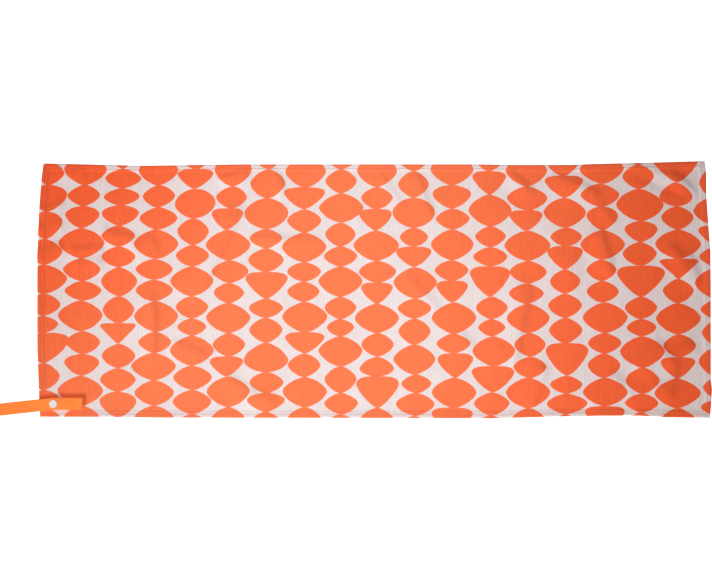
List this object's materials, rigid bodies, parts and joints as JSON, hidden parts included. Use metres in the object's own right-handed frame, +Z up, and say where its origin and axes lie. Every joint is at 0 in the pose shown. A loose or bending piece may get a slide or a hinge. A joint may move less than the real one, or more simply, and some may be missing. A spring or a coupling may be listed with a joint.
{
  "type": "quick dry towel",
  "caption": "Flat rectangular microfibre towel with a printed face, a stitched hem on all sides and a webbing hanging loop that closes with a plastic snap at one corner",
  "frame": {"origin": "under the middle of the whole length, loop included, on the surface that the towel lies on", "axes": "+X runs along the towel away from the loop, +Y across it, +Z up out of the printed face"},
  "size_m": [1.145, 0.4, 0.0106],
  "materials": {
    "printed_microfibre": "brushed microfibre printed coral orange on pale pinkish grey",
    "hem_thread": "fine dusty pink polyester sewing thread",
    "webbing": "flat woven polyester webbing, bright orange",
    "strap_thread": "orange polyester sewing thread",
    "snap_plastic": "moulded off-white acetal"
  },
  "bodies": {
    "towel_left": {"towel_cloth_left": "printed_microfibre", "hem_thread_left_end": "hem_thread", "hem_thread_near_left": "hem_thread", "hem_thread_far_left": "hem_thread", "strap_base": "webbing", "strap_seam_thread": "strap_thread", "snap_stud": "snap_plastic", "snap_back_cap": "snap_plastic"},
    "towel_right": {"towel_cloth_right": "printed_microfibre", "hem_thread_right_end": "hem_thread", "hem_thread_near_right": "hem_thread", "hem_thread_far_right": "hem_thread"},
    "loop": {"strap_lower_leg": "webbing", "strap_bend": "webbing"},
    "upper_leg": {"strap_upper_leg": "webbing"},
    "tab": {"strap_tab": "webbing", "tab_seam_thread": "strap_thread", "snap_cap": "snap_plastic", "snap_socket": "snap_plastic"}
  },
  "joints": [
    {"name": "towel_fold", "type": "hinge", "parent": "towel_left", "child": "towel_right", "pos_m": [0.0475, 0, 0.003], "axis": [0, -1, 0], "range_deg": [0, 178.5]},
    {"name": "loop_lift", "type": "hinge", "parent": "towel_left", "child": "loop", "pos_m": [-0.4835, -0.18059, 0.00605], "axis": [-0.1115, 0.9938, 0], "range_deg": [0, 80]},
    {"name": "snap_open", "type": "hinge", "parent": "loop", "child": "upper_leg", "pos_m": [-0.56742, -0.19, 0.0044], "axis": [0.1115, -0.9938, 0], "range_deg": [0, 175], "deforming": ["strap_bend"]},
    {"name": "tab_turn", "type": "hinge", "parent": "upper_leg", "child": "tab", "pos_m": [-0.4835, -0.18059, 0.00605], "axis": [-0.1115, 0.9938, 0], "range_deg": [-80, 0]}
  ],
  "couplings": [
    {"joint": "tab_turn", "follows": "loop_lift", "ratio": -1}
  ]
}
